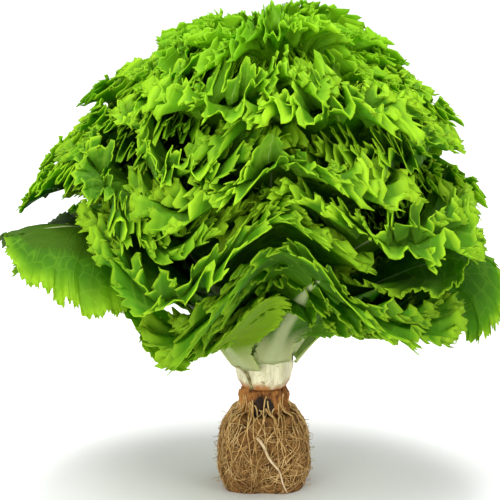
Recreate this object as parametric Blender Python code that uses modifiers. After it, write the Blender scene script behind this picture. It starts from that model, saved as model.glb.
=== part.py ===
"""Green leaf lettuce, lifted with its roots and standing on the block of peat that they grew in.

The head is a short stem with its leaves in a golden-angle spiral. Every leaf is its own thin solid. A leaf is
laid out in three numbers: the length along its rib, the azimuth round the stem, and the layer of the head
that it lies in. One map, place(), turns them into a point, and no two layers meet under that map, so
neighbouring leaves never cross however deeply their margins are ruffled.

Metres, +Z up, the photograph is taken from -Y. The origin is on the floor under the middle of the root block.
"""

import math
import random

import bmesh
import bpy
import numpy as np
from mathutils import Vector

MM = 0.001
GAP = 0.4 * MM

# Root block, a soft-edged square of peat that stands on the floor.
BLOCK_HALF_WIDTH = 26.5 * MM
BLOCK_HEIGHT = 45 * MM
BLOCK_SQUARENESS = 3.4
BLOCK_SIDES = 36
BLOCK_RINGS = 9
TAPROOT_RADIUS = 6 * MM
TAPROOT_BOTTOM = 14 * MM

# Brown crown between the block and the stem, and the roots that run from it over the block.
CROWN_RADIUS = 16.5 * MM
CROWN_TOP = 60 * MM
ROOT_COUNT = 18
ROOT_POINTS = 7
ROOT_RADIUS = 1.0 * MM

# Stem, a pale cone with a domed tip that carries the leaves.
STEM_FOOT_RADIUS = 13.5 * MM
STEM_RADIUS = 18 * MM
STEM_LEAF_HEIGHT = 74 * MM
STEM_TIP_HEIGHT = 120 * MM

# Leaves, from the outermost to the innermost. Each list is read from depth 0, outside, to depth 1, the heart.
# The shares are those of single leaves, by number.
LEAF_COUNT = 50
GOLDEN_ANGLE = math.radians(137.5)
FIRST_AZIMUTH = math.radians(232)
LEAF_HALF_ANGLE = math.radians(47)
LEAF_LENGTHS = (146 * MM, 164 * MM, 174 * MM, 177 * MM, 158 * MM)
LENGTH_SHARES = {0: 0.74, 1: 0.94, 5: 1.11, 7: 1.05}
WIDTH_SHARES = {5: 0.8}
START_SLOPES = (50, 64, 74, 82, 88)
MIDDLE_SLOPES = (20, 43, 62, 77, 87)
END_SLOPES = (-66, -43, -15, 25, 56)
RIB_THICKNESS = 4.4 * MM
BLADE_THICKNESS = 1.0 * MM
RUFFLE_ROWS = (20, 20, 16, 16, 12)
RUFFLE_LEVELS = (0, 0.40, 0.72, 1)
ROWS_JOINED = (4, 4, 2, 1)
RUFFLE_FILL = 0.74
WIDE_WAVE = 0.46
TIGHT_WAVE = 0.54

GREEN = (0.22, 0.50, 0.03)
PALE_GREEN = (0.62, 0.70, 0.38)
PEAT_BROWN = (0.16, 0.09, 0.04)
ROOT_TAN = (0.50, 0.33, 0.14)


def smooth(x, low, high):
    """0 below low, 1 above high, and a smooth step between."""
    share = np.clip((x - low) / (high - low), 0, 1)
    return share * share * (3 - 2 * share)


def between(values, share):
    """Reads a row of evenly spaced values at share, from 0 to 1."""
    return np.interp(share, np.linspace(0, 1, len(values)), values)


def bump(theta, centre, width):
    """A smooth hill of height 1 round the head, centred on an azimuth in degrees."""
    away = (np.degrees(theta) - centre + 180) % 360 - 180
    return np.exp(-((away / width) ** 2))


def stem_point(depth):
    """(radius, height) of the stem's surface where a layer grows. depth is 0 outside, 1 at the heart."""
    turn = depth * math.pi / 2
    rise = STEM_TIP_HEIGHT - STEM_LEAF_HEIGHT
    return STEM_RADIUS * np.cos(turn) + 1.5 * MM, STEM_LEAF_HEIGHT + rise * np.sin(turn)


def layer_length(depth):
    return between(LEAF_LENGTHS, depth)


def lean(theta):
    """How much further than its layer a leaf rises, in degrees. The head stands higher behind."""
    return (
        32 * bump(theta, 65, 45)
        + 22 * bump(theta, 135, 40)
        + 16 * bump(theta, 198, 22)
        - 24 * bump(theta, 246, 15)
        + 20 * bump(theta, 275, 13)
        - 10 * bump(theta, 325, 28)
    )


def leaf_length(number, places):
    """Rib length of a leaf. The head is narrower low on its right and at its shoulders."""
    azimuth, depth = places[number]
    draw = random.Random(number).uniform(0.94, 1.05)
    short = 0.16 * bump(azimuth, 350, 40) * smooth(0.5 - depth, 0, 0.2)
    short = short + 0.11 * math.cos(azimuth) ** 2 * smooth(depth, 0.3, 0.5) * smooth(0.85 - depth, 0, 0.2)
    return layer_length(depth) * LENGTH_SHARES.get(number, draw * (1 - short))


def slope(along, theta, depth):
    """Angle above the horizon, in radians, of a leaf's rib at a length along it."""
    start = between(START_SLOPES, depth)
    middle = between(MIDDLE_SLOPES, depth)
    end = between(END_SLOPES, depth)
    reach = along / layer_length(depth)
    opened = start + (middle - start) * smooth(reach, 0, 0.4)
    held = 0.34 * bump(theta, 200, 28) + 0.2 * bump(theta, 350, 35) + 0.6 * bump(theta, 275, 38)
    curled = (end - middle) * smooth(reach, 0.55, 1.1) * (1 - held * (1 - depth))
    lifted = np.clip(1 - depth, 0, 1) ** 1.5 * lean(theta) * smooth(reach, 0.05, 0.5)
    wander = 6 * np.sin(3 * theta + 5 * depth + 1) * smooth(reach, 0.1, 0.8)
    return np.radians(opened + curled + lifted + wander)


def place(along, theta, depth, steps=24):
    """The point at a length along a leaf's rib, an azimuth and a depth in the head."""
    radius, height = stem_point(depth)
    step = along / steps
    for k in range(steps):
        angle = slope(step * (k + 0.5), theta, depth)
        radius = radius + step * np.cos(angle)
        height = height + step * np.sin(angle)
    return np.stack([radius * np.cos(theta), radius * np.sin(theta), height], -1)


def margin(turn):
    """A leaf's outline on one side, from foot to tip, as shares of its length and half angle."""
    widest = 0.67
    lower = np.clip(turn / 0.5, 0, 1)
    corner = np.clip((turn - 0.5) / 0.5, 0, 1) * math.pi / 2
    waist = 0.70 - 0.19 * np.sin(np.pi * np.clip(lower / 0.5, 0, 1)) + 0.30 * smooth(lower, 0.3, 1)
    power = 2 / 3.2
    length = widest * lower + (1 - widest) * np.sin(corner) ** power
    width = np.where(turn < 0.5, waist, np.abs(np.cos(corner)) ** power)
    return length, width


def leaf_places():
    """(azimuth, depth) of every leaf, along the golden-angle spiral."""
    return [(FIRST_AZIMUTH + GOLDEN_ANGLE * n, (n + 0.5) / LEAF_COUNT) for n in range(LEAF_COUNT)]


def room(theta, number, places):
    """How far inwards and outwards in depth a leaf may ruffle: half way to the next leaf at its azimuth."""
    widest = 2.4 / LEAF_COUNT
    inwards = np.full(np.shape(theta), widest)
    outwards = np.full(np.shape(theta), widest)
    depth = places[number][1]
    for other, (azimuth, other_depth) in enumerate(places):
        if other == number or abs(other_depth - depth) > 2 * widest:
            continue
        apart = np.abs((theta - azimuth + math.pi) % (2 * math.pi) - math.pi)
        beside = smooth(apart - LEAF_HALF_ANGLE, math.radians(1), math.radians(16))
        half_gap = abs(other_depth - depth) / 2 + widest * beside
        if other_depth > depth:
            inwards = np.minimum(inwards, half_gap)
        else:
            outwards = np.minimum(outwards, half_gap)
    return inwards, outwards


def leaf_points(across, turn, number, places, rows, first_wave, start):
    """Points of a leaf's middle surface. across runs from -1 to 1, and turn from the foot to the tip."""
    azimuth, depth = places[number]
    outward = np.abs(across)
    tip_length, tip_width = margin(turn)
    vein_length = 0.86 * turn**1.1
    reach = vein_length + (tip_length - vein_length) * outward
    theta = azimuth + across * tip_width * LEAF_HALF_ANGLE * WIDTH_SHARES.get(number, 1)
    phase = math.pi * rows * (1 - turn)
    wide = np.sin(phase / 2 * np.sign(across) + start) * outward**2
    tight = first_wave * np.cos(phase) * smooth(outward, RUFFLE_LEVELS[2], 1)
    inwards, outwards = room(theta, number, places)
    middle = (inwards - outwards) / 2 * outward**2
    wave = (inwards + outwards) / 2 * RUFFLE_FILL * (WIDE_WAVE * wide + TIGHT_WAVE * tight)
    along = reach * leaf_length(number, places)
    return place(along, theta, depth + (middle + wave) * smooth(reach, 0.12, 0.5))


def material(name, colour, roughness):
    made = bpy.data.materials.new(name)
    made.use_nodes = True
    shader = made.node_tree.nodes["Principled BSDF"]
    shader.inputs["Base Color"].default_value = (*colour, 1)
    shader.inputs["Roughness"].default_value = roughness
    shader.inputs["Metallic"].default_value = 0
    return made


def add_object(name, mesh, collection, finish=None):
    """Turns a bmesh into a named object of a collection."""
    data = bpy.data.meshes.new(name)
    mesh.to_mesh(data)
    mesh.free()
    made = bpy.data.objects.new(name, data)
    collection.objects.link(made)
    if finish:
        data.materials.append(finish)
    return made


def build_leaf(name, number, places, collection, finish):
    """A ruffled blade with its rib. Rows join up towards the rib, so that most faces lie in the margin."""
    depth = places[number][1]
    draw = random.Random(800 + number)
    first_wave = draw.choice((-1, 1))
    start = draw.uniform(0, 2 * math.pi)
    rows = 4 * round(float(between(RUFFLE_ROWS, depth)) / 4)
    levels = len(RUFFLE_LEVELS) - 1
    mesh = bmesh.new()
    bmesh.ops.create_grid(mesh, x_segments=2 * levels, y_segments=rows, size=1)
    grid = np.array([v.co for v in mesh.verts])
    column = np.rint(grid[:, 0] * levels).astype(int)
    row = np.rint((grid[:, 1] + 1) / 2 * rows)
    joined = np.array(ROWS_JOINED)[np.abs(column)]
    turn = joined * np.floor(row / joined) / rows
    across = np.sign(column) * np.array(RUFFLE_LEVELS)[np.abs(column)]
    points = leaf_points(across, turn, number, places, rows, first_wave, start)
    reach = margin(turn)[0] * np.abs(across) + 0.86 * turn**1.1 * (1 - np.abs(across))
    rib = (1 - np.abs(across)) ** 1.5 * (1 - 0.7 * reach) * 0.9 + 0.26 * (1 - smooth(reach, 0, 0.25))
    rib = np.clip(rib, 0, 1) * (1 - 0.96 * depth)
    thickness = BLADE_THICKNESS * (1 - 0.2 * depth) + (RIB_THICKNESS - BLADE_THICKNESS) * rib
    weights = mesh.verts.layers.deform.new()
    for vertex, point, thick in zip(mesh.verts, points, thickness):
        vertex.co = Vector(point)
        vertex[weights][0] = thick / RIB_THICKNESS
    bmesh.ops.remove_doubles(mesh, verts=mesh.verts, dist=0.05 * MM)
    bmesh.ops.triangulate(mesh, faces=mesh.faces)
    bmesh.ops.recalc_face_normals(mesh, faces=mesh.faces)
    leaf = add_object(name, mesh, collection, finish)
    leaf.vertex_groups.new(name="thickness")
    shell = leaf.modifiers.new("Blade", "SOLIDIFY")
    shell.thickness = RIB_THICKNESS
    shell.offset = 0
    shell.vertex_group = "thickness"
    shell.use_even_offset = False
    leaf.data.shade_smooth()
    return leaf


def turned(name, profile, steps, collection, finish):
    """A solid of revolution from (radius, height) points, top to bottom, that start and end on the axis."""
    mesh = bmesh.new()
    points = [mesh.verts.new((radius, 0, height)) for radius, height in profile]
    for first, second in zip(points, points[1:]):
        mesh.edges.new((first, second))
    made = add_object(name, mesh, collection, finish)
    screw = made.modifiers.new("Turn", "SCREW")
    screw.steps = steps
    screw.render_steps = steps
    screw.use_merge_vertices = True
    screw.merge_threshold = 0.01 * MM
    return made


def build_stem(collection):
    """The pale stem, from its flat foot on the crown to the tip inside the heart."""
    leaf_zone = [stem_point(depth) for depth in np.linspace(1, 0, 9)]
    inset = GAP + 1.6 * MM
    profile = [(0, STEM_TIP_HEIGHT - inset)]
    profile += [(max(radius - inset, 0.6 * MM), height - inset * 0.6) for radius, height in leaf_zone]
    profile += [
        (STEM_FOOT_RADIUS + 2.5 * MM, CROWN_TOP + 6 * MM),
        (STEM_FOOT_RADIUS, CROWN_TOP + GAP),
        (0, CROWN_TOP + GAP),
    ]
    stem = turned("stem", profile, 24, collection, material("stem", PALE_GREEN, 0.45))
    stem.data.shade_smooth()
    return stem


def block_radius(theta, height):
    """Distance from the axis to the block's side, a rounded square that narrows at its top and its foot."""
    level = np.asarray(height) / BLOCK_HEIGHT
    width = between((0.9, 0.99, 1.0, 0.97, 0.9, 0.74), level)
    lumps = 1 + 0.02 * np.sin(5 * theta + 9 * level) + 0.015 * np.sin(9 * theta - 14 * level)
    square = np.abs(np.cos(theta)) ** BLOCK_SQUARENESS + np.abs(np.sin(theta)) ** BLOCK_SQUARENESS
    return BLOCK_HALF_WIDTH * width * lumps / square ** (1 / BLOCK_SQUARENESS)


def apply_modifiers(target):
    """Replaces an object's mesh by what its modifiers make of it."""
    bpy.context.view_layer.update()
    graph = bpy.context.evaluated_depsgraph_get()
    made = bpy.data.meshes.new_from_object(target.evaluated_get(graph))
    target.modifiers.clear()
    target.data = made


def build_block(collection, cutters):
    """The block of peat, with a plain hole for the taproot."""
    mesh = bmesh.new()
    bmesh.ops.create_cone(
        mesh,
        segments=BLOCK_SIDES,
        radius1=BLOCK_HALF_WIDTH,
        radius2=BLOCK_HALF_WIDTH,
        depth=BLOCK_HEIGHT,
        cap_ends=True,
    )
    upright = [e for e in mesh.edges if abs(e.verts[0].co.z - e.verts[1].co.z) > BLOCK_HEIGHT / 2]
    bmesh.ops.subdivide_edges(mesh, edges=upright, cuts=BLOCK_RINGS - 1, use_grid_fill=True)
    for vertex in mesh.verts:
        height = vertex.co.z + BLOCK_HEIGHT / 2
        theta = math.atan2(vertex.co.y, vertex.co.x)
        radius = float(block_radius(theta, height))
        vertex.co = (radius * math.cos(theta), radius * math.sin(theta), height)
    block = add_object("root_block", mesh, collection, material("peat", PEAT_BROWN, 0.95))
    hole = bmesh.new()
    bmesh.ops.create_cone(
        hole,
        segments=16,
        radius1=TAPROOT_RADIUS + GAP + 0.2 * MM,
        radius2=TAPROOT_RADIUS + GAP + 0.2 * MM,
        depth=2 * (BLOCK_HEIGHT - TAPROOT_BOTTOM + GAP),
        cap_ends=True,
    )
    bmesh.ops.translate(hole, verts=hole.verts, vec=(0, 0, BLOCK_HEIGHT))
    cutter = add_object("taproot_hole", hole, cutters)
    cutter.hide_render = True
    cutter.display_type = "WIRE"
    cut = block.modifiers.new("Taproot hole", "BOOLEAN")
    cut.operation = "DIFFERENCE"
    cut.object = cutter
    return block


def root_route(number):
    """Points of one side root: out of the crown, over the block's shoulder and down its side."""
    draw = random.Random(100 + number)
    theta = 2 * math.pi * (number + draw.uniform(-0.3, 0.3)) / ROOT_COUNT
    drift = draw.uniform(-0.5, 0.5)
    start = draw.uniform(48, 55) * MM
    end = draw.uniform(3, 22) * MM
    route = [(CROWN_RADIUS - 4 * MM, theta, start)]
    over = BLOCK_HEIGHT + ROOT_RADIUS + 2.2 * GAP
    shoulder = float(block_radius(theta, BLOCK_HEIGHT))
    route.append((max(shoulder - 2 * MM, CROWN_RADIUS + 0.5 * MM), theta, over + 0.4 * MM))
    for k in range(ROOT_POINTS - 2):
        share = k / (ROOT_POINTS - 3)
        height = BLOCK_HEIGHT + (end - BLOCK_HEIGHT) * share
        turned_by = theta + drift * share + 0.06 * math.sin(7 * share + number)
        side = float(block_radius(turned_by, min(height, BLOCK_HEIGHT))) + ROOT_RADIUS + 3 * GAP
        route.append((side, turned_by, height))
    return [Vector((r * math.cos(a), r * math.sin(a), h)) for r, a, h in route]


def tube(name, route, radius, collection):
    """A bent rod as a closed mesh, made from a curve that is then removed."""
    curve = bpy.data.curves.new(name, "CURVE")
    curve.dimensions = "3D"
    curve.bevel_depth = radius
    curve.bevel_resolution = 0
    curve.use_fill_caps = True
    spline = curve.splines.new("POLY")
    spline.points.add(len(route) - 1)
    for k, (point, at) in enumerate(zip(spline.points, route)):
        point.co = (*at, 1)
        point.radius = 1.15 - 0.6 * k / (len(route) - 1)
    rod = bpy.data.objects.new(name, curve)
    collection.objects.link(rod)
    bpy.context.view_layer.update()
    graph = bpy.context.evaluated_depsgraph_get()
    data = bpy.data.meshes.new_from_object(rod.evaluated_get(graph))
    made = bpy.data.objects.new(name + "_solid", data)
    made.matrix_world = rod.matrix_world
    bpy.data.objects.remove(rod)
    weld = bmesh.new()
    weld.from_mesh(data)
    bmesh.ops.remove_doubles(weld, verts=weld.verts, dist=0.02 * MM)
    weld.to_mesh(data)
    weld.free()
    collection.objects.link(made)
    return made


def build_roots(collection, strands):
    """The brown crown with its taproot, and the side roots that grow out of it, joined as one body."""
    foot = BLOCK_HEIGHT + GAP
    profile = [
        (0, CROWN_TOP),
        (CROWN_RADIUS - 1.5 * MM, CROWN_TOP),
        (CROWN_RADIUS, CROWN_TOP - 3 * MM),
        (CROWN_RADIUS - 0.5 * MM, foot + 5 * MM),
        (CROWN_RADIUS - 1.0 * MM, foot),
        (TAPROOT_RADIUS, foot),
        (TAPROOT_RADIUS * 0.8, TAPROOT_BOTTOM + 6 * MM),
        (0, TAPROOT_BOTTOM),
    ]
    roots = turned("roots", profile, 20, collection, material("roots", ROOT_TAN, 0.8))
    apply_modifiers(roots)
    for number in range(ROOT_COUNT):
        tube(f"root_{number:02d}", root_route(number), ROOT_RADIUS, strands)
    join = roots.modifiers.new("Side roots", "BOOLEAN")
    join.operation = "UNION"
    join.operand_type = "COLLECTION"
    join.collection = strands
    join.solver = "EXACT"
    apply_modifiers(roots)
    for strand in list(strands.objects):
        bpy.data.objects.remove(strand)
    return roots


def new_collection(name):
    made = bpy.data.collections.new(name)
    bpy.context.scene.collection.children.link(made)
    return made


def main():
    for old in list(bpy.data.objects):
        bpy.data.objects.remove(old)
    plant = new_collection("green leaf lettuce")
    cutters = new_collection("cutters")
    strands = new_collection("root strands")
    build_block(plant, cutters)
    build_roots(plant, strands)
    build_stem(plant)
    finish = material("leaf", GREEN, 0.45)
    places = leaf_places()
    for number in range(LEAF_COUNT):
        build_leaf(f"leaf_{number + 1:02d}", number, places, plant, finish)


main()
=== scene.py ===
"""Green leaf lettuce with its roots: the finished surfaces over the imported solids.

The leaves are laid out by the same map as the solids, from the same named sizes, with finer ruffles, teeth
and ribs. Metres, +Z up, the photograph is taken from -Y.
"""

import math
import random

import bmesh
import bpy
import numpy as np
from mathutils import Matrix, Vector
from mathutils.noise import noise as noise_at


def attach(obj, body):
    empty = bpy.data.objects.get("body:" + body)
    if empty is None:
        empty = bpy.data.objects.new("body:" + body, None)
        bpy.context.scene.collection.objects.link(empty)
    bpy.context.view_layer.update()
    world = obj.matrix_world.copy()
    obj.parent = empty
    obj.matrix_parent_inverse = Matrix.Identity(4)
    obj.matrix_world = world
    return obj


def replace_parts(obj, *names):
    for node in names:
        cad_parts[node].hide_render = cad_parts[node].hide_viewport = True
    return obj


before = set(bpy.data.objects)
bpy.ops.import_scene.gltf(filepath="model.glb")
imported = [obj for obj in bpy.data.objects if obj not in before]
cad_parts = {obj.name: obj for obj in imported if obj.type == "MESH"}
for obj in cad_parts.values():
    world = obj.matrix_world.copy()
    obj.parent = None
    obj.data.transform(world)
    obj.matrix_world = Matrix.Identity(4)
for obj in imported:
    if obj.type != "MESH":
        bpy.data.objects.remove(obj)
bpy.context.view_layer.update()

MM = 0.001

# The head's layout, as in the solids. Rows of values run from the outermost leaves to the heart, and slopes
# are in degrees. The shares are for single leaves, by their number in the spiral.
STEM_RADIUS = 18 * MM
STEM_LEAF_HEIGHT = 74 * MM
STEM_TIP_HEIGHT = 120 * MM
LEAF_COUNT = 50
GOLDEN_ANGLE = math.radians(137.5)
FIRST_AZIMUTH = math.radians(232)
LEAF_HALF_ANGLE = math.radians(47)
LEAF_LENGTHS = (146 * MM, 164 * MM, 174 * MM, 177 * MM, 158 * MM)
LENGTH_SHARES = {0: 0.74, 1: 0.94, 5: 1.11, 7: 1.05}
WIDTH_SHARES = {5: 0.8}
START_SLOPES = (50, 64, 74, 82, 88)
MIDDLE_SLOPES = (20, 43, 62, 77, 87)
END_SLOPES = (-66, -43, -15, 25, 56)

# The finished leaves' meshes: rows on each side of the longest leaf, levels from the rib to the margin as
# shares of the way out, how many rows are joined into one at each level, and a flattened leaf's half width as
# a share of its length.
SIDE_ROWS = 368
LEVELS = (0, 0.04, 0.10, 0.22, 0.38, 0.54, 0.68, 0.79, 0.87, 0.92, 0.965, 1)
ROWS_JOINED = (8, 8, 8, 4, 4, 4, 4, 2, 2, 2, 1, 1)
FLAT_WIDTH = 0.42
BLADE_THICKNESS = 0.5 * MM
RIB_THICKNESS = 3.6 * MM

# Every frilled leaf has a second frill, which stands up from its blade behind the margin. The front leaf has
# more of them in front of it. A frill is (how far it stands up, share of the leaf's length that it reaches).
# It runs round FRILL_RUN of the margin, its foot is sunk into the blade, and short frills have higher folds.
FRILL_LEVELS = (0.52, 0.66, 0.77, 0.83, 0.87)
FRILL_JOINED = (4, 4, 2, 1, 1)
FRILLS = ((9 * MM, 1.0),)
MORE_FRILLS = {3: ((9 * MM, 1.0), (-8 * MM, 0.84), (-15 * MM, 0.70), (-21 * MM, 0.57))}
FRILL_RUN = 0.9
FRILL_SINK = 1.5 * MM
SHORT_FRILL_FOLDS = 1.9

# A wave is (folds on each side of the leaf, height of the folds, how far they lap back, distance that they
# run in from the margin), for the plain outermost leaves and for the frilled ones.
PLAIN_WAVES = (
    (3, 4 * MM, 0.0, 80 * MM),
    (8, 3 * MM, 0.2, 40 * MM),
    (18, 1.6 * MM, 0.5, 20 * MM),
    (38, 0.9 * MM, 0.5, 10 * MM),
)
FRILLED_WAVES = (
    (3, 4 * MM, 0.0, 90 * MM),
    (10, 5 * MM, 0.35, 42 * MM),
    (27, 6.2 * MM, 0.6, 22 * MM),
    (62, 3.8 * MM, 0.4, 11 * MM),
)
CURL = 2.5 * MM
BLISTER = 0.5 * MM
TOOTH = 2.4 * MM
TOOTH_RUN = 4 * MM
ROWS_PER_TOOTH = 3.1

# How pale some of the outermost leaves are, from 0 to 1. The big left leaf is dark, with a pale lower half.
LEAF_TONES = {0: 1.0, 5: 0.0}
PALE_EDGED = 5

# Root block, crown and stem, as in the solids.
BLOCK_HALF_WIDTH = 26.5 * MM
BLOCK_HEIGHT = 45 * MM
BLOCK_SQUARENESS = 3.4
CROWN_RADIUS = 16.5 * MM
CROWN_FOOT = BLOCK_HEIGHT + 0.4 * MM
CROWN_TOP = 60 * MM
STEM_FOOT = CROWN_TOP + 0.4 * MM
STEM_FOOT_RADIUS = 13.5 * MM

# The finished roots.
CROWN_ROOTS = 64
BLOCK_ROOTS = 500
LOOSE_HAIRS = 260
ROOT_STRIDE = 2.2 * MM

# The photograph's camera.
CAMERA_RISE = math.radians(12)
CAMERA_AIM = Vector((-8.3 * MM, 0, 143 * MM))
CAMERA_DISTANCE = 1.3
CAMERA_LENS = 158.6


def smooth(x, low, high):
    """0 below low, 1 above high, and a smooth step between."""
    share = np.clip((x - low) / (high - low), 0, 1)
    return share * share * (3 - 2 * share)


def between(values, share):
    """Reads a row of evenly spaced values at share, from 0 to 1."""
    return np.interp(share, np.linspace(0, 1, len(values)), values)


def bump(theta, centre, width):
    """A smooth hill of height 1 round the head, centred on an azimuth in degrees."""
    away = (np.degrees(theta) - centre + 180) % 360 - 180
    return np.exp(-((away / width) ** 2))


def stem_point(depth):
    """(radius, height) of the stem's surface where the leaves of a layer grow.

    depth is 0 outside and 1 at the heart.
    """
    turn = depth * math.pi / 2
    rise = STEM_TIP_HEIGHT - STEM_LEAF_HEIGHT
    return STEM_RADIUS * np.cos(turn) + 1.5 * MM, STEM_LEAF_HEIGHT + rise * np.sin(turn)


def layer_length(depth):
    """Length of a layer's leaves along their ribs."""
    return between(LEAF_LENGTHS, depth)


def lean(theta):
    """How much further than its layer a leaf rises, in degrees."""
    return (
        32 * bump(theta, 65, 45)
        + 22 * bump(theta, 135, 40)
        + 16 * bump(theta, 198, 22)
        - 24 * bump(theta, 246, 15)
        + 20 * bump(theta, 275, 13)
        - 10 * bump(theta, 325, 28)
    )


def leaf_length(number, places):
    """Length of one leaf along its rib."""
    azimuth, depth = places[number]
    draw = random.Random(number).uniform(0.94, 1.05)
    short = 0.16 * bump(azimuth, 350, 40) * smooth(0.5 - depth, 0, 0.2)
    short = short + 0.11 * math.cos(azimuth) ** 2 * smooth(depth, 0.3, 0.5) * smooth(0.85 - depth, 0, 0.2)
    return layer_length(depth) * LENGTH_SHARES.get(number, draw * (1 - short))


def slope(along, theta, depth):
    """Angle above the horizon, in radians, of a leaf's rib at a length along it."""
    start = between(START_SLOPES, depth)
    middle = between(MIDDLE_SLOPES, depth)
    end = between(END_SLOPES, depth)
    reach = along / layer_length(depth)
    opened = start + (middle - start) * smooth(reach, 0, 0.4)
    held = 0.34 * bump(theta, 200, 28) + 0.2 * bump(theta, 350, 35) + 0.6 * bump(theta, 275, 38)
    curled = (end - middle) * smooth(reach, 0.55, 1.1) * (1 - held * (1 - depth))
    lifted = np.clip(1 - depth, 0, 1) ** 1.5 * lean(theta) * smooth(reach, 0.05, 0.5)
    wander = 6 * np.sin(3 * theta + 5 * depth + 1) * smooth(reach, 0.1, 0.8)
    return np.radians(opened + curled + lifted + wander)


def place(along, theta, depth, steps=24):
    """The point at a length along a leaf's rib, an azimuth and a depth in the head."""
    radius, height = stem_point(depth)
    stride = along / steps
    for k in range(steps):
        angle = slope(stride * (k + 0.5), theta, depth)
        radius = radius + stride * np.cos(angle)
        height = height + stride * np.sin(angle)
    return np.stack([radius * np.cos(theta), radius * np.sin(theta), height], -1)


def margin(turn):
    """A leaf's outline on one side, as shares of its length and of its half angle.

    turn is 0 at its foot and 1 at its tip.
    """
    widest = 0.67
    lower = np.clip(turn / 0.5, 0, 1)
    corner = np.clip((turn - 0.5) / 0.5, 0, 1) * math.pi / 2
    waist = 0.70 - 0.19 * np.sin(np.pi * np.clip(lower / 0.5, 0, 1)) + 0.30 * smooth(lower, 0.3, 1)
    power = 2 / 3.2
    length = widest * lower + (1 - widest) * np.sin(corner) ** power
    width = np.where(turn < 0.5, waist, np.abs(np.cos(corner)) ** power)
    return length, width


def vein_foot(turn):
    """Where on the rib the side vein to a turn starts, as a share of the leaf's length."""
    return 0.86 * turn**1.1


def leaf_places():
    """(azimuth, depth) of every leaf, along the golden-angle spiral."""
    return [(FIRST_AZIMUTH + GOLDEN_ANGLE * n, (n + 0.5) / LEAF_COUNT) for n in range(LEAF_COUNT)]


def room(theta, number, places):
    """How far inwards and outwards in depth a leaf may ruffle at an azimuth: half way to the next leaf."""
    widest = 2.4 / LEAF_COUNT
    inwards = np.full(np.shape(theta), widest)
    outwards = np.full(np.shape(theta), widest)
    depth = places[number][1]
    for other, (azimuth, other_depth) in enumerate(places):
        if other == number or abs(other_depth - depth) > 2 * widest:
            continue
        apart = np.abs((theta - azimuth + math.pi) % (2 * math.pi) - math.pi)
        beside = smooth(apart - LEAF_HALF_ANGLE, math.radians(1), math.radians(16))
        half_gap = abs(other_depth - depth) / 2 + widest * beside
        if other_depth > depth:
            inwards = np.minimum(inwards, half_gap)
        else:
            outwards = np.minimum(outwards, half_gap)
    return inwards, outwards


def spaced(share):
    """Way along a margin, from its share of the rows. They lie closest near the tip."""
    return share * (0.55 + 0.45 * share**2)


def tipward(way):
    """Way along a margin's turn, from its share of the margin's length. The tip bends quickest."""
    return way * (way**2 / (way**2 + 0.02)) ** 0.125


def plainness(azimuth, depth):
    """1 for the nearly flat outermost leaves on the left and the right, and 0 for the frilled ones."""
    beside = max(float(bump(azimuth, 205, 35)), float(bump(azimuth, 350, 30)))
    return beside * float(smooth(0.17 - depth, 0, 0.05))


def up_frill(across):
    """Share of the way up a frill, from its foot to its rim."""
    return (np.abs(across) - FRILL_LEVELS[0]) / (FRILL_LEVELS[-1] - FRILL_LEVELS[0])


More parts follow.
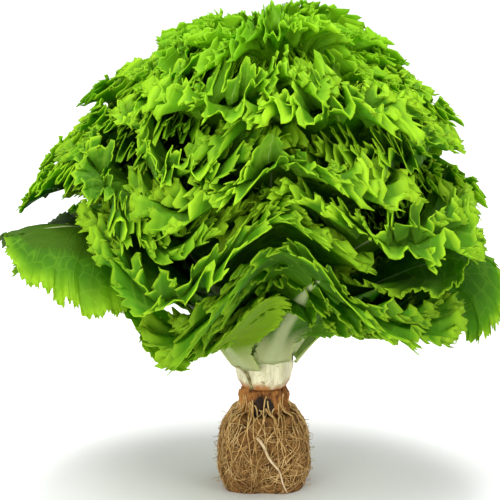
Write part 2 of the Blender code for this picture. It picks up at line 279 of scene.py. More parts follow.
def leaf_points(across, turn, number, places, rows, rim, lift, short):
    """Points of a finished leaf's middle surface, their place in the flattened leaf, and their reach.

    across is 0 at the rib and 1 and -1 at the margins. turn is 0 at the foot and 1 at the tip, in shares of
    the rows. The way along the margin runs from 0 at the tip to 1 at one foot of the blade and -1 at the
    other. A rim below 1 is that of a frill, which stands up by lift and reaches the share short of the leaf's
    length.
    """
    azimuth, depth = places[number]
    length = leaf_length(number, places)
    draw = random.Random(f"{number} {rim * short}")
    starts = [draw.uniform(0, 2 * math.pi) for _ in range(24)]
    outward = np.abs(across)
    row_share = np.where(across >= 0, 1.0, -1.0) * (1 - turn)
    way = spaced(row_share)
    turn = 1 - np.abs(tipward(way))
    tip_length, tip_width = margin(turn)
    span = length * np.hypot(tip_length - vein_foot(turn), tip_width * (0.56 - 0.4 * depth**2))
    from_margin = (rim - outward) * span

    frilled = 1 - plainness(azimuth, depth)
    drift = 1.3 * np.sin(7 * way + starts[0]) + 0.8 * np.sin(17 * way + starts[1])
    wave, lap, curl = 0, 0, 0
    for k, (plain, full) in enumerate(zip(PLAIN_WAVES, FRILLED_WAVES)):
        count, rise_to, back, run = (low + (high - low) * frilled for low, high in zip(plain, full))
        count = count * (1 - 0.3 * depth)
        angle = 2 * math.pi * count * way + starts[2 + k] + (0.4 + 0.5 * k) * drift
        rise = np.clip(1 - from_margin / run, 0, 1) ** 1.4
        uneven = 0.82 + 0.4 * np.sin((9 + 14 * k) * way + starts[7 + k])
        wave = wave + rise_to * rise * uneven * np.sin(angle)
        lap = lap - back / (2 * math.pi * count) * rise * np.sin(2 * angle)
        if k > 0:
            curl = curl + CURL / k * rise**2 * np.sin(angle * 0.5 + starts[12 + k])
    at_margin = np.clip(1 - from_margin / TOOTH_RUN, 0, 1)
    notch = 2 * math.pi * rows * row_share / ROWS_PER_TOOTH + 3 * np.sin(31 * way + starts[18])
    uneven = 0.8 + 0.35 * np.sin(83 * way + starts[19])
    tooth = TOOTH * (0.4 + 0.6 * frilled) * np.sin(notch) * uneven * at_margin
    wave = wave + 0.6 * TOOTH * np.sin(notch * 0.77 + starts[20]) * at_margin
    wave = np.where(wave < 0, 0.5 + 0.35 * smooth(depth, 0.15, 0.45), 1.0) * wave
    way = tipward(np.clip(way + lap * smooth(turn, 0, 0.08), -1, 1))

    side = np.where(way >= 0, 1.0, -1.0)
    turn = 1 - np.abs(way)
    tip_length, tip_width = margin(turn)
    spread = outward + (curl * frilled + tooth) / np.maximum(span, 15 * MM)
    reach = vein_foot(turn) + (tip_length - vein_foot(turn)) * spread
    theta = azimuth + side * spread * tip_width * LEAF_HALF_ANGLE * WIDTH_SHARES.get(number, 1)

    inwards, outwards = room(theta, number, places)
    middle = (inwards - outwards) / 2 * outward**2
    per_depth = (330 - 290 * depth) * MM
    wave = wave * (0.72 + 0.28 * smooth(depth, 0.1, 0.25)) * (1 - 0.5 * smooth(depth, 0.6, 1.0))
    if rim < 1:
        stands = up_frill(across)
        raised = lift * stands - math.copysign(FRILL_SINK, lift) * (1 - stands)
        wave = wave * (SHORT_FRILL_FOLDS if short < 1 else 1.0) + raised * smooth(turn, 0.1, 0.4)
    shift = (middle + wave / per_depth) * smooth(reach, 0.12, 0.45)
    blister = np.sin(36 * reach + starts[21] + 2 * across) * np.sin(24 * across + 9 * reach + starts[22])
    shift = shift + BLISTER * blister * smooth(reach, 0.15, 0.4) / per_depth
    points = place(reach * length * short, theta, depth + shift)
    flat = np.stack([across * tip_width * FLAT_WIDTH * length, reach * length], -1)
    return points, flat, reach


def node(tree, kind, inputs=(), **settings):
    """Adds a shader node. inputs maps a socket's name or number to a value or to another node's output."""
    made = tree.nodes.new(kind)
    for name, value in settings.items():
        setattr(made, name, value)
    for name, value in dict(inputs).items():
        if isinstance(value, bpy.types.NodeSocket):
            tree.links.new(value, made.inputs[name])
        else:
            made.inputs[name].default_value = value
    return made


def maths(tree, operation, *values):
    return node(tree, "ShaderNodeMath", enumerate(values), operation=operation).outputs[0]


def step(tree, value, low, high, to_low=0.0, to_high=1.0):
    """A smooth step of value from low to high."""
    inputs = {"Value": value, "From Min": low, "From Max": high, "To Min": to_low, "To Max": to_high}
    return node(tree, "ShaderNodeMapRange", inputs, interpolation_type="SMOOTHSTEP").outputs["Result"]


def mix(tree, share, first, second):
    """Mixes two colours, each an (r, g, b) or a socket."""
    made = node(tree, "ShaderNodeMix", {"Factor": share}, data_type="RGBA")
    for socket, value in ((made.inputs[6], first), (made.inputs[7], second)):
        if isinstance(value, bpy.types.NodeSocket):
            tree.links.new(value, socket)
        else:
            socket.default_value = (*value, 1)
    return made.outputs[2]


def noise(tree, vector, scale, detail=3.0, roughness=0.55):
    inputs = {"Vector": vector, "Scale": scale, "Detail": detail, "Roughness": roughness}
    return node(tree, "ShaderNodeTexNoise", inputs).outputs["Fac"]


def ramp(tree, value, *stops):
    """A colour ramp of (position, colour) stops."""
    made = node(tree, "ShaderNodeValToRGB", {0: value})
    elements = made.color_ramp.elements
    while len(elements) < len(stops):
        elements.new(0.5)
    for element, (position, colour) in zip(elements, stops):
        element.position = position
        element.color = (*colour, 1)
    return made.outputs["Color"]


def uv_of(tree, name):
    return node(tree, "ShaderNodeUVMap", uv_map=name).outputs["UV"]


def new_material(name):
    """A material with a bare Principled node."""
    made = bpy.data.materials.new(name)
    made.use_nodes = True
    return made, made.node_tree, made.node_tree.nodes["Principled BSDF"]


def leaf_material(name, under):
    """Leaf blade seen from above or from under, with its rib, side veins and fine net, painted shade in the
    blade and a painted highlight on the margin.
    """
    made, tree, shader = new_material(name)
    flat = uv_of(tree, "flat")
    where = node(tree, "ShaderNodeSeparateXYZ", {0: uv_of(tree, "leaf")})
    tone = node(tree, "ShaderNodeSeparateXYZ", {0: uv_of(tree, "tone")})
    turn, depth, paleness = where.outputs["Y"], tone.outputs["X"], tone.outputs["Y"]
    outward = maths(tree, "ABSOLUTE", maths(tree, "MULTIPLY_ADD", where.outputs["X"], 2.0, -1.0))
    patches = noise(tree, flat, 3.2, 4.0)
    specks = noise(tree, flat, 16.0, 3.0)

    # The blade's own green, darkened between the rib and the frills as painted shade where the ruffles' cups
    # lie, with a painted highlight of bright yellow-green on the margin rim.
    blade = ramp(
        tree,
        maths(tree, "MULTIPLY_ADD", maths(tree, "SUBTRACT", patches, 0.5), 0.4, outward),
        (0.0, (0.070, 0.210, 0.002)),
        (0.35, (0.022, 0.110, 0.001)),
        (0.74, (0.026, 0.130, 0.001)),
        (0.90, (0.070, 0.270, 0.001)),
        (1.0, (0.500, 0.800, 0.024)),
    )
    blade = mix(tree, step(tree, specks, 0.35, 0.75, 0.0, 0.3), blade, (0.070, 0.27, 0.001))

    # Side veins run along lines of equal turn, from the rib to the margin, with a fine net between them.
    wander = maths(tree, "MULTIPLY_ADD", noise(tree, flat, 2.4, 2.0), 0.09, turn)
    bands = maths(tree, "FRACT", maths(tree, "MULTIPLY", wander, 13.0))
    apart = maths(tree, "ABSOLUTE", maths(tree, "SUBTRACT", bands, 0.5))
    thin = maths(tree, "MULTIPLY_ADD", outward, -0.055, 0.085)
    side_veins = maths(tree, "SUBTRACT", 1.0, step(tree, apart, 0.0, thin))
    scatter = node(tree, "ShaderNodeTexNoise", {"Vector": flat, "Scale": 9.0, "Detail": 2.0}).outputs["Color"]
    nudged = {0: scatter, 1: (0.05, 0.05, 0.05), 2: flat}
    bent = node(tree, "ShaderNodeVectorMath", nudged, operation="MULTIPLY_ADD")
    around = {"Vector": bent.outputs[0], "Scale": 13.0}
    cells = node(tree, "ShaderNodeTexVoronoi", around, feature="DISTANCE_TO_EDGE").outputs["Distance"]
    net = maths(tree, "SUBTRACT", 1.0, step(tree, cells, 0.0, 0.10))

    # The rib is broad and pale at the foot and runs out towards the tip.
    broad = node(tree, "ShaderNodeFloatCurve", {1: turn})
    curve = broad.mapping.curves[0]
    curve.points[0].location = (0.0, 0.95)
    curve.points[1].location = (1.0, 0.025)
    for place_at in ((0.12, 0.55), (0.30, 0.20), (0.60, 0.07)):
        curve.points.new(*place_at)
    broad.mapping.update()
    rib_width = broad.outputs[0]
    rib_core = maths(tree, "MULTIPLY", rib_width, 0.3)
    rib = maths(tree, "SUBTRACT", 1.0, step(tree, outward, rib_core, rib_width))
    foot = maths(tree, "SUBTRACT", 1.0, step(tree, turn, 0.0, 0.30))

    vein_green = (0.26, 0.50, 0.03) if under else (0.17, 0.45, 0.008)
    colour = mix(tree, maths(tree, "MULTIPLY", net, 0.28), blade, vein_green)
    colour = mix(tree, maths(tree, "MULTIPLY", side_veins, 0.5), colour, vein_green)
    # The heart's leaves are paler yellow-green of their own, and this is raised further as painted light on
    # the top of the head.
    colour = mix(tree, step(tree, depth, 0.35, 0.9, 0.0, 0.6), colour, (0.26, 0.64, 0.003))
    colour = mix(tree, step(tree, depth, 0.06, 0.2, 0.25, 0.0), colour, (0.07, 0.17, 0.002))
    dark = step(tree, paleness, 0.0, 0.25, 0.8, 0.0)
    colour = mix(tree, dark, colour, (0.036, 0.090, 0.001))
    colour = mix(tree, step(tree, paleness, 0.45, 1.0, 0.0, 0.6), colour, (0.33, 0.54, 0.012))
    if under:
        colour = mix(tree, 0.18, colour, (0.17, 0.40, 0.008))
    colour = mix(tree, maths(tree, "MULTIPLY", foot, 0.9), colour, (0.68, 0.68, 0.34))
    colour = mix(tree, maths(tree, "MULTIPLY", rib, 0.8), colour, (0.64, 0.69, 0.37))
    tree.links.new(colour, shader.inputs["Base Color"])
    rough = maths(tree, "MULTIPLY_ADD", specks, 0.22, 0.52 if under else 0.40)
    tree.links.new(rough, shader.inputs["Roughness"])
    shader.inputs["Specular IOR Level"].default_value = 0.14

    raised = maths(tree, "ADD", maths(tree, "MULTIPLY", side_veins, 0.9), maths(tree, "MULTIPLY", net, 0.35))
    grain = maths(tree, "MULTIPLY_ADD", specks, 0.5, maths(tree, "MULTIPLY", raised, 1.0 if under else -1.0))
    grain = maths(tree, "MULTIPLY_ADD", noise(tree, flat, 7.0, 1.5), 5.0, grain)
    relief = node(tree, "ShaderNodeBump", {"Height": grain, "Strength": 0.55, "Distance": 0.8 * MM})
    tree.links.new(relief.outputs[0], shader.inputs["Normal"])

    lit = maths(tree, "MULTIPLY_ADD", dark, -0.5, 0.4)
    through = node(tree, "ShaderNodeBsdfTranslucent", {"Color": mix(tree, lit, colour, (0.17, 0.60, 0.001))})
    both = node(tree, "ShaderNodeMixShader", {0: 0.46, 1: shader.outputs[0], 2: through.outputs[0]})
    tree.links.new(both.outputs[0], tree.nodes["Material Output"].inputs[0])
    return made


def surface_material(name, dark, middle, light, scale, roughness, relief, stretch=(1, 1, 1), patch=None):
    """Earth, bark or root: three colours scattered by noise, with a rough relief.

    A patch is (its centre, its radius, its colour).
    """
    made, tree, shader = new_material(name)
    plain = node(tree, "ShaderNodeTexCoord").outputs["Object"]
    at = node(tree, "ShaderNodeVectorMath", {0: plain, 1: stretch}, operation="MULTIPLY").outputs[0]
    coarse = noise(tree, at, scale, 5.0, 0.65)
    fine = noise(tree, at, scale * 5, 4.0, 0.6)
    both = maths(tree, "MULTIPLY_ADD", fine, 0.5, maths(tree, "MULTIPLY", coarse, 0.6))
    colour = ramp(tree, both, (0.40, dark), (0.54, middle), (0.70, light))
    if patch:
        centre, radius, earth = patch
        ends = {0: plain, 1: centre}
        away = node(tree, "ShaderNodeVectorMath", ends, operation="DISTANCE").outputs["Value"]
        away = maths(tree, "MULTIPLY_ADD", maths(tree, "SUBTRACT", coarse, 0.5), radius * 1.5, away)
        colour = mix(tree, step(tree, away, 0.7 * radius, radius, 0.95, 0.0), colour, earth)
    tree.links.new(colour, shader.inputs["Base Color"])
    tree.links.new(maths(tree, "MULTIPLY_ADD", fine, 0.2, roughness - 0.1), shader.inputs["Roughness"])
    shader.inputs["Specular IOR Level"].default_value = 0.25
    bumped = node(tree, "ShaderNodeBump", {"Height": both, "Strength": 0.8, "Distance": relief})
    tree.links.new(bumped.outputs[0], shader.inputs["Normal"])
    return made


def stem_material():
    """Pale green-white stem, stained brown at its foot, with upright fibres and small brown specks."""
    made, tree, shader = new_material("stem_skin")
    at = node(tree, "ShaderNodeTexCoord").outputs["Object"]
    height = node(tree, "ShaderNodeSeparateXYZ", {0: at}).outputs["Z"]
    drawn_out = node(tree, "ShaderNodeVectorMath", {0: at, 1: (1, 1, 0.12)}, operation="MULTIPLY").outputs[0]
    fibres = noise(tree, drawn_out, 420.0, 3.0)
    patches = noise(tree, at, 130.0, 3.0)
    specks = noise(tree, at, 520.0, 2.0)
    colour = mix(tree, step(tree, fibres, 0.35, 0.65), (0.50, 0.47, 0.27), (0.74, 0.69, 0.47))
    colour = mix(tree, step(tree, height, 0.070, 0.090, 0.0, 0.55), colour, (0.50, 0.62, 0.24))
    colour = mix(tree, step(tree, specks, 0.62, 0.68, 0.0, 0.75), colour, (0.22, 0.12, 0.03))
    stained = maths(tree, "MULTIPLY_ADD", maths(tree, "SUBTRACT", patches, 0.5), 0.016, height)
    colour = mix(tree, step(tree, stained, 0.0605, 0.0670, 1.0, 0.0), colour, (0.36, 0.14, 0.028))
    tree.links.new(colour, shader.inputs["Base Color"])
    tree.links.new(maths(tree, "MULTIPLY_ADD", fibres, 0.25, 0.35), shader.inputs["Roughness"])
    bumped = node(tree, "ShaderNodeBump", {"Height": fibres, "Strength": 0.5, "Distance": 0.5 * MM})
    tree.links.new(bumped.outputs[0], shader.inputs["Normal"])
    return made


def new_object(name, data, slot, *materials):
    """Shows a mesh as a piece that rides on the part."""
    made = bpy.data.objects.new(name, data)
    bpy.context.scene.collection.objects.link(made)
    for finish in materials:
        data.materials.append(finish)
    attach(made, "root")
    return made


def with_modifiers(made):
    """A copy of an object's mesh as its modifiers leave it. The object is removed."""
    bpy.context.view_layer.update()
    graph = bpy.context.evaluated_depsgraph_get()
    data = bpy.data.meshes.new_from_object(made.evaluated_get(graph))
    bpy.data.objects.remove(made)
    return data


def add_map(mesh, name, values):
    """A UV map from one (u, v) for each vertex."""
    corners = np.empty(len(mesh.loops), dtype=np.int32)
    mesh.loops.foreach_get("vertex_index", corners)
    layer = mesh.uv_layers.new(name=name, do_init=False)
    layer.uv.foreach_set("vector", values[corners].astype(np.float32).ravel())


def sheet(name, columns, side_rows):
    """A grid mesh. Returns it with each vertex's column and row, from 0."""
    grid = bmesh.new()
    bmesh.ops.create_grid(grid, x_segments=columns, y_segments=side_rows, size=1)
    data = bpy.data.meshes.new(name)
    grid.to_mesh(data)
    grid.free()
    at = np.empty(len(data.vertices) * 3)
    data.vertices.foreach_get("co", at)
    at = at.reshape(-1, 3)
    return data, np.rint((at[:, 0] + 1) / 2 * columns).astype(int), np.rint((at[:, 1] + 1) / 2 * side_rows)


def shell_of(data, across, turn, number, places, side_rows, finishes, rim=1.0, lift=0.0, short=1.0):
    """Lays a grid mesh out as a blade, or as a frill, and gives it its thickness."""
    depth = places[number][1]
    points, flat, reach = leaf_points(across, turn, number, places, side_rows, rim, lift, short)
    data.vertices.foreach_set("co", points.ravel())
    draw = random.Random(900 + number)
    outward = np.abs(across) if rim == 1 else 0.35 + 0.65 * up_frill(across)
    shown = 1 - np.abs(tipward(spaced(1 - turn)))
    add_map(data, "leaf", np.stack([(np.sign(across) * outward + 1) / 2, shown], -1))
    add_map(data, "flat", flat * 10 + (draw.uniform(0, 9), draw.uniform(0, 9)))
    pale = np.full(len(points), LEAF_TONES.get(number, draw.uniform(0.3, 0.6)))
    if number == PALE_EDGED:
        pale = pale + 0.9 * smooth(across, 0.5, 1.0)
    add_map(data, "tone", np.stack([np.full(len(points), depth), pale], -1))

    half_width = np.maximum(margin(shown)[1] * FLAT_WIDTH * leaf_length(number, places), 8 * MM)
    from_rib = np.abs(across) * half_width
    rib_width = 8 * MM - 6 * MM * smooth(reach, 0, 0.8)
    rib = np.exp(-((from_rib / rib_width) ** 2)) * (1 - smooth(reach, 0.1, 0.95))
    rib = np.maximum(rib, 0.45 * (1 - smooth(reach, 0, 0.22))) * (1 - 0.76 * depth)
    thickness = BLADE_THICKNESS + (RIB_THICKNESS - BLADE_THICKNESS) * rib
    weld = bmesh.new()
    weld.from_mesh(data)
    weights = weld.verts.layers.deform.new()
    for vertex, thick in zip(weld.verts, thickness):
        vertex[weights][0] = float(thick / RIB_THICKNESS)
    bmesh.ops.remove_doubles(weld, verts=weld.verts, dist=0.01 * MM)
    weld.to_mesh(data)
    weld.free()
    leaf = bpy.data.objects.new("blade", data)
    bpy.context.scene.collection.objects.link(leaf)
    leaf.vertex_groups.new(name="thickness")
    for finish in finishes:
        data.materials.append(finish)
    shell = leaf.modifiers.new("Blade", "SOLIDIFY")
    shell.thickness = RIB_THICKNESS
    shell.offset = 0
    shell.vertex_group = "thickness"
    shell.use_even_offset = False
    shell.material_offset = 1
    data.shade_smooth()
    return with_modifiers(leaf)


def build_leaf(number, places, finishes):
    """One leaf, with its frills in the same mesh."""
    azimuth, depth = places[number]
    most_joined = max(ROWS_JOINED)
    side_rows = SIDE_ROWS * leaf_length(number, places) / max(LEAF_LENGTHS) * (1 - 0.35 * depth)
    side_rows = most_joined * round(side_rows / most_joined)
    levels = len(LEVELS) - 1
    data, column, row = sheet(f"leaf_blade_{number + 1:02d}", 2 * levels, side_rows)
    column = column - levels
    joined = np.array(ROWS_JOINED)[np.abs(column)]
    turn = joined * np.floor(row / joined) / side_rows
    across = np.sign(column) * np.array(LEVELS)[np.abs(column)]
    made = shell_of(data, across, turn, number, places, side_rows, finishes)

    frilled = plainness(azimuth, depth) < 0.5 and depth < 0.85
    for lift, short in MORE_FRILLS.get(number, FRILLS) if frilled else ():
        data, column, row = sheet("frill", len(FRILL_LEVELS) - 1, 2 * side_rows)
        joined = np.array(FRILL_JOINED)[column]
        way = FRILL_RUN * (joined * np.rint((row - side_rows) / joined) / side_rows)
        across = np.where(way >= 0, 1, -1) * np.array(FRILL_LEVELS)[column]
        turn = 1 - np.abs(way)
        frill = shell_of(
            data, across, turn, number, places, side_rows, finishes, FRILL_LEVELS[-1], lift, short
        )
        both = bmesh.new()
        both.from_mesh(made)
        both.from_mesh(frill)
        both.to_mesh(made)
        both.free()
    add_bake_map(made)
    name = f"leaf_{number + 1:02d}"
    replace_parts(new_object("fine_" + name, made, "leaf"), name)


def add_bake_map(mesh):
    """The leaf map once more, with the underside beside the upper side."""
    around = np.empty(len(mesh.loops) * 2, dtype=np.float32)
    mesh.uv_layers["leaf"].uv.foreach_get("vector", around)
    around = around.reshape(-1, 2)
    corners = np.empty(len(mesh.polygons), dtype=np.int32)
    mesh.polygons.foreach_get("loop_total", corners)
    faces = np.empty(len(mesh.polygons), dtype=np.int32)
    mesh.polygons.foreach_get("material_index", faces)
    under = np.repeat(faces, corners)
    around[:, 0] = 0.01 + around[:, 0] * 0.48 + 0.5 * under
    around[:, 1] = 0.01 + around[:, 1] * 0.98
    layer = mesh.uv_layers.new(name="OFBake", do_init=False)
    layer.uv.foreach_set("vector", around.ravel())


def build_leaves():
    places = leaf_places()
    upper = leaf_material("leaf_upper", False)
    lower = leaf_material("leaf_under", True)
    for number in range(LEAF_COUNT):
        build_leaf(number, places, (upper, lower))


def block_radius(theta, height):
    """Distance from the axis to the block's side, as in the solid."""
    level = np.asarray(height) / BLOCK_HEIGHT
    width = between((0.9, 0.99, 1.0, 0.97, 0.9, 0.74), level)
    lumps = 1 + 0.02 * np.sin(5 * theta + 9 * level) + 0.015 * np.sin(9 * theta - 14 * level)
    square = np.abs(np.cos(theta)) ** BLOCK_SQUARENESS + np.abs(np.sin(theta)) ** BLOCK_SQUARENESS
    return BLOCK_HALF_WIDTH * width * lumps / square ** (1 / BLOCK_SQUARENESS)


def turned_mesh(name, profile, radius_at, around, roughen):
    """A round body with caps.

    profile is its rings, as (share of the radius, height), and radius_at gives the radius anywhere.
    """
    rings = []
    mesh = bmesh.new()
    for inset, height in profile:
        ring = []
        for k in range(around):
            theta = 2 * math.pi * k / around
            radius = float(radius_at(theta, height)) * inset
            at = Vector((radius * math.cos(theta), radius * math.sin(theta), height))
            ring.append(mesh.verts.new(at + at.to_2d().to_3d() * roughen(at)))
        rings.append(ring)
    for low, high in zip(rings, rings[1:]):
        for k in range(around):
            mesh.faces.new((low[k], low[(k + 1) % around], high[(k + 1) % around], high[k]))
    mesh.faces.new(reversed(rings[0]))
    mesh.faces.new(rings[-1])
    data = bpy.data.meshes.new(name)
    mesh.to_mesh(data)
    mesh.free()
    data.shade_smooth()
    return data


def build_block():
    """The peat block, crumbly all over."""
    heights = [0, 0.2 * MM] + [BLOCK_HEIGHT * k / 60 for k in range(1, 61)]
    top = [(0.8, BLOCK_HEIGHT), (0.6, BLOCK_HEIGHT)]
    profile = [(0.5, 0), (0.9, 0)] + [(1, height) for height in heights] + top

    def crumble(at):
        return 0.035 * noise_at(at * 160) + 0.02 * noise_at(at * 420) - 0.02

    data = turned_mesh("peat_block", profile, block_radius, 180, crumble)
    peat = surface_material(
        "peat", (0.020, 0.011, 0.004), (0.145, 0.066, 0.017), (0.38, 0.19, 0.055), 160.0, 0.95, 1.2 * MM
    )
    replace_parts(new_object("peat_block", data, "peat", peat), "root_block")


def crown_radius(theta, height):
    """The knobbly crown, a little inside its solid."""
    knobs = 1 + 0.06 * np.sin(7 * theta + 3) + 0.04 * np.sin(13 * theta)
    waist = between((1.0, 0.93, 0.90, 0.97, 0.86), (height - BLOCK_HEIGHT) / (CROWN_TOP - BLOCK_HEIGHT))
    return (CROWN_RADIUS - 1.2 * MM) * waist * knobs


def strand(curve, route, radius):
    """One root of a curve object, tapered to its end."""
    spline = curve.splines.new("POLY")
    spline.points.add(len(route) - 1)
    for k, (point, at) in enumerate(zip(spline.points, route)):
        point.co = (*at, 1)
        point.radius = radius / MM * (1 - 0.65 * k / (len(route) - 1))


def new_curve(name):
    """A curve object's data, for round rods."""
    curve = bpy.data.curves.new(name, "CURVE")
    curve.dimensions = "3D"
    curve.bevel_depth = MM
    curve.bevel_resolution = 1
    curve.use_fill_caps = True
    return curve


def curve_piece(name, curve, slot, finish):
    """Shows a curve's rods as a mesh piece."""
    rods = bpy.data.objects.new(name, curve)
    bpy.context.scene.collection.objects.link(rods)
    data = with_modifiers(rods)
    data.shade_smooth()
    return new_object(name, data, slot, finish)


def over_block(theta, height, lift):
    """A point over the block's side."""
    radius = float(block_radius(theta, min(height, BLOCK_HEIGHT))) + lift
    return Vector((radius * math.cos(theta), radius * math.sin(theta), height))


def crown_root(draw, number):
    """Out of the crown, over the block's shoulder and down its side."""
    theta = 2 * math.pi * (number + draw.uniform(-0.4, 0.4)) / CROWN_ROOTS
    drift = draw.uniform(-0.7, 0.7)
    start = draw.uniform(48, 58) * MM
    end = draw.uniform(1, 26) * MM
    bend, waves = draw.uniform(0, 6), draw.uniform(4, 11)
    route = []
    for k in range(5):
        share = k / 5
        edge = float(block_radius(theta, BLOCK_HEIGHT)) + 0.4 * MM
        near = CROWN_RADIUS - 2.2 * MM + draw.uniform(0, 1) * MM
        radius = near + (edge - near) * smooth(share, 0.35, 1.0)
        height = start + (BLOCK_HEIGHT + 1.2 * MM - start) * smooth(share, 0, 0.75)
        at = theta + 0.12 * math.sin(2.5 * share + bend)
        route.append(Vector((radius * math.cos(at), radius * math.sin(at), height)))
    first = theta + 0.12 * math.sin(2.5 + bend)
    lift = draw.uniform(0.2, 1.6) * MM
    for k in range(15):
        share = k / 14
        height = BLOCK_HEIGHT + (end - BLOCK_HEIGHT) * share
        at = first + drift * share + 0.07 * (math.sin(waves * share + bend) - math.sin(bend))
        route.append(over_block(at, height, lift * math.sin(min(1, share * 4) * math.pi / 2)))
    return route


def block_root(draw):
    """A fine root that wanders over the side of the block."""
    theta = draw.uniform(0, 2 * math.pi)
    height = draw.uniform(4, 45) * MM
    heading = draw.gauss(-math.pi / 2, 0.9)
    lift = draw.uniform(-0.3, 1.0) * MM
    route = []
    for _ in range(draw.randint(9, 22)):
        route.append(over_block(theta, height, lift))
        heading += draw.gauss(0, 0.28)
        theta += ROOT_STRIDE * math.cos(heading) / BLOCK_HALF_WIDTH
        height += ROOT_STRIDE * math.sin(heading)
        if not 0.6 * MM < height < BLOCK_HEIGHT + 0.3 * MM:
            break
    return route


def loose_hair(draw):
    """A hair that stands away from the block."""
    theta = draw.uniform(0, 2 * math.pi)
    height = draw.uniform(2, 44) * MM
    start = over_block(theta, height, -0.5 * MM)
    out = Vector((math.cos(theta), math.sin(theta), draw.uniform(-0.6, 0.5)))
    across = Vector((-math.sin(theta), math.cos(theta), draw.uniform(-1, 1))) * draw.uniform(-1, 1)
    reach = draw.uniform(1.5, 5.5) * MM
    route = []
    for k in range(7):
        share = k / 6
        at = start + out * reach * math.sin(share * 2.3) + across * reach * 1.6 * share
        at.z = max(at.z, 0.4 * MM)
        route.append(at)
    return route


def build_roots():
    """Crown, thick roots, the fine net over the block and the loose hairs."""
    heights = [CROWN_FOOT + (CROWN_TOP - CROWN_FOOT) * k / 16 for k in range(17)]
    top = [(0.85, CROWN_TOP), (0.5, CROWN_TOP)]
    profile = [(0.5, CROWN_FOOT)] + [(1, height) for height in heights] + top

    def knots(at):
        return 0.06 * noise_at(at * 210) + 0.03 * noise_at(at * 520)

    crown = surface_material(
        "crown_bark",
        (0.045, 0.017, 0.005),
        (0.28, 0.105, 0.022),
        (0.52, 0.25, 0.06),
        120.0,
        0.85,
        0.9 * MM,
        (1, 1, 0.4),
        ((-1 * MM, -15 * MM, 50 * MM), 8 * MM, (0.012, 0.008, 0.006)),
    )
    data = turned_mesh("crown", profile, crown_radius, 120, knots)
    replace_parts(new_object("crown", data, "roots", crown), "roots")

    tan = surface_material(
        "root_tan", (0.27, 0.14, 0.040), (0.52, 0.32, 0.11), (0.74, 0.53, 0.25), 90.0, 0.75, 0.3 * MM
    )
    pale = surface_material(
        "root_pale", (0.40, 0.26, 0.12), (0.64, 0.47, 0.27), (0.82, 0.67, 0.44), 90.0, 0.65, 0.3 * MM
    )
    brown = surface_material(
        "root_brown", (0.15, 0.068, 0.018), (0.32, 0.17, 0.050), (0.50, 0.31, 0.11), 90.0, 0.8, 0.3 * MM
    )
    draw = random.Random(77)
    thick, fine, dark = new_curve("crown_roots"), new_curve("fine_roots"), new_curve("brown_roots")
    for number in range(CROWN_ROOTS):
        strand(thick, crown_root(draw, number), draw.uniform(0.3, 0.65) * MM)
    for _ in range(BLOCK_ROOTS):
        route = block_root(draw)
        if len(route) > 4:
            strand(fine if draw.random() < 0.45 else dark, route, draw.uniform(0.15, 0.36) * MM)
    for _ in range(LOOSE_HAIRS):
        strand(fine if draw.random() < 0.5 else dark, loose_hair(draw), draw.uniform(0.10, 0.20) * MM)
    curve_piece("crown_roots", thick, "roots", tan)
    curve_piece("fine_roots", fine, "roots", tan)
    curve_piece("brown_roots", dark, "roots", brown)

    main = new_curve("pale_root")
    route = []
    for k in range(15):
        share = k / 14
        x = (-4 + 17 * share + 1.5 * math.sin(3 * share) + 0.7 * math.sin(13 * share)) * MM
        height = (35 - 33.5 * share) * MM
        theta = math.atan2(-25, x / MM)
        route.append(over_block(theta, height, 1.4 * MM))
    strand(main, route, 1.0 * MM)
    curve_piece("pale_root", main, "roots", pale)


def stem_radius(theta, height):
    """The stem with the ridges that run up into the leaf feet."""
    low = STEM_FOOT_RADIUS + 2.5 * MM * smooth(height, STEM_FOOT, CROWN_TOP + 6 * MM)
    body = low + (STEM_RADIUS - 0.9 * MM - low) * smooth(height, CROWN_TOP + 5 * MM, STEM_LEAF_HEIGHT)
    ridges = 0.035 * np.sin(9 * theta + 40 * height) * smooth(height, CROWN_TOP, STEM_LEAF_HEIGHT)
    turn = np.clip((height - STEM_LEAF_HEIGHT) / (STEM_TIP_HEIGHT - STEM_LEAF_HEIGHT), 0, 0.97)
    return body * np.sqrt(1 - turn**2) * (1 + ridges)


def build_stem():
    """The stem, and the dried stalk that hangs beside it."""
    rise = STEM_TIP_HEIGHT - 3 * MM - STEM_FOOT
    heights = [STEM_FOOT + 0.6 * MM + rise * k / 50 for k in range(51)]
    profile = [(0.5, STEM_FOOT), (0.93, STEM_FOOT)] + [(1, height) for height in heights]

    def pores(at):
        return 0.02 * noise_at(at * 150) + 0.008 * noise_at(at * 500)

    data = turned_mesh("pale_stem", profile, stem_radius, 120, pores)
    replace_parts(new_object("pale_stem", data, "stem", stem_material()), "stem")

    dried = new_curve("dried_stalk")
    route = []
    for k in range(14):
        share = k / 13
        theta = math.radians(240 - 5 * share - 7 * share**4)
        radius = (14.4 + 11 * share**1.4) * MM
        height = (61.5 + 20 * share - 4.5 * share**5) * MM
        route.append(Vector((radius * math.cos(theta), radius * math.sin(theta), height)))
    strand(dried, route, 1.3 * MM)
    skin = surface_material(
        "dried_skin", (0.05, 0.040, 0.012), (0.16, 0.13, 0.040), (0.40, 0.35, 0.16), 110.0, 0.7, 0.3 * MM
    )
    curve_piece("dried_stalk", dried, "stem", skin)


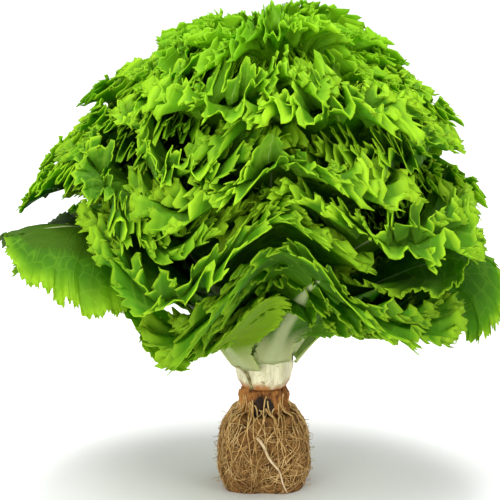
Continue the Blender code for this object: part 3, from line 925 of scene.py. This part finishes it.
def build_stage():
    """Pale floor, soft studio light and the photograph's camera."""
    scene = bpy.context.scene
    floor = bmesh.new()
    bmesh.ops.create_grid(floor, x_segments=1, y_segments=1, size=9)
    data = bpy.data.meshes.new("floor")
    floor.to_mesh(data)
    floor.free()
    made, tree, shader = new_material("pale_floor")
    shader.inputs["Base Color"].default_value = (0.86, 0.86, 0.86, 1)
    shader.inputs["Roughness"].default_value = 0.9
    data.materials.append(made)
    stage = bpy.data.objects.new("floor", data)
    scene.collection.objects.link(stage)

    world = bpy.data.worlds.new("studio")
    world.use_nodes = True
    tree = world.node_tree
    light = tree.nodes["Background"]
    light.inputs[0].default_value = (1, 1, 1, 1)
    light.inputs[1].default_value = 0.85
    backdrop = node(tree, "ShaderNodeBackground", {0: (1, 1, 1, 1), 1: 0.95})
    seen = node(tree, "ShaderNodeLightPath").outputs["Is Camera Ray"]
    both = node(tree, "ShaderNodeMixShader", {0: seen, 1: light.outputs[0], 2: backdrop.outputs[0]})
    tree.links.new(both.outputs[0], tree.nodes["World Output"].inputs[0])
    scene.world = world
    head = Vector((0, 0, 0.15))
    for name, place_at, kind, size, power in (
        ("sky", (-0.25, -0.5, 2.0), "SUN", math.radians(50), 1.4),
        ("key", (-0.4, -1.1, 1.5), "AREA", 0.6, 7),
        ("fill", (1.2, -0.9, 0.6), "AREA", 1.0, 6),
        ("front", (-0.8, -1.3, 0.25), "AREA", 0.8, 10),
        ("top", (0.0, 0.1, 1.7), "AREA", 0.8, 18),
    ):
        lamp = bpy.data.objects.new(name, bpy.data.lights.new(name, kind))
        if kind == "SUN":
            lamp.data.angle = size
        else:
            lamp.data.size = size
        lamp.data.energy = power
        lamp.location = place_at
        lamp.rotation_mode = "QUATERNION"
        lamp.rotation_quaternion = (head - Vector(place_at)).to_track_quat("-Z", "Y")
        scene.collection.objects.link(lamp)

    camera = bpy.data.objects.new("camera", bpy.data.cameras.new("camera"))
    scene.collection.objects.link(camera)
    scene.camera = camera
    camera.data.lens = CAMERA_LENS
    camera.data.sensor_width = 36
    back = Vector((0, -math.cos(CAMERA_RISE), math.sin(CAMERA_RISE)))
    camera.location = CAMERA_AIM + CAMERA_DISTANCE * back
    camera.rotation_mode = "QUATERNION"
    camera.rotation_quaternion = (-back).to_track_quat("-Z", "Y")
    scene.view_settings.view_transform = "Standard"


build_block()
build_roots()
build_stem()
build_leaves()
build_stage()
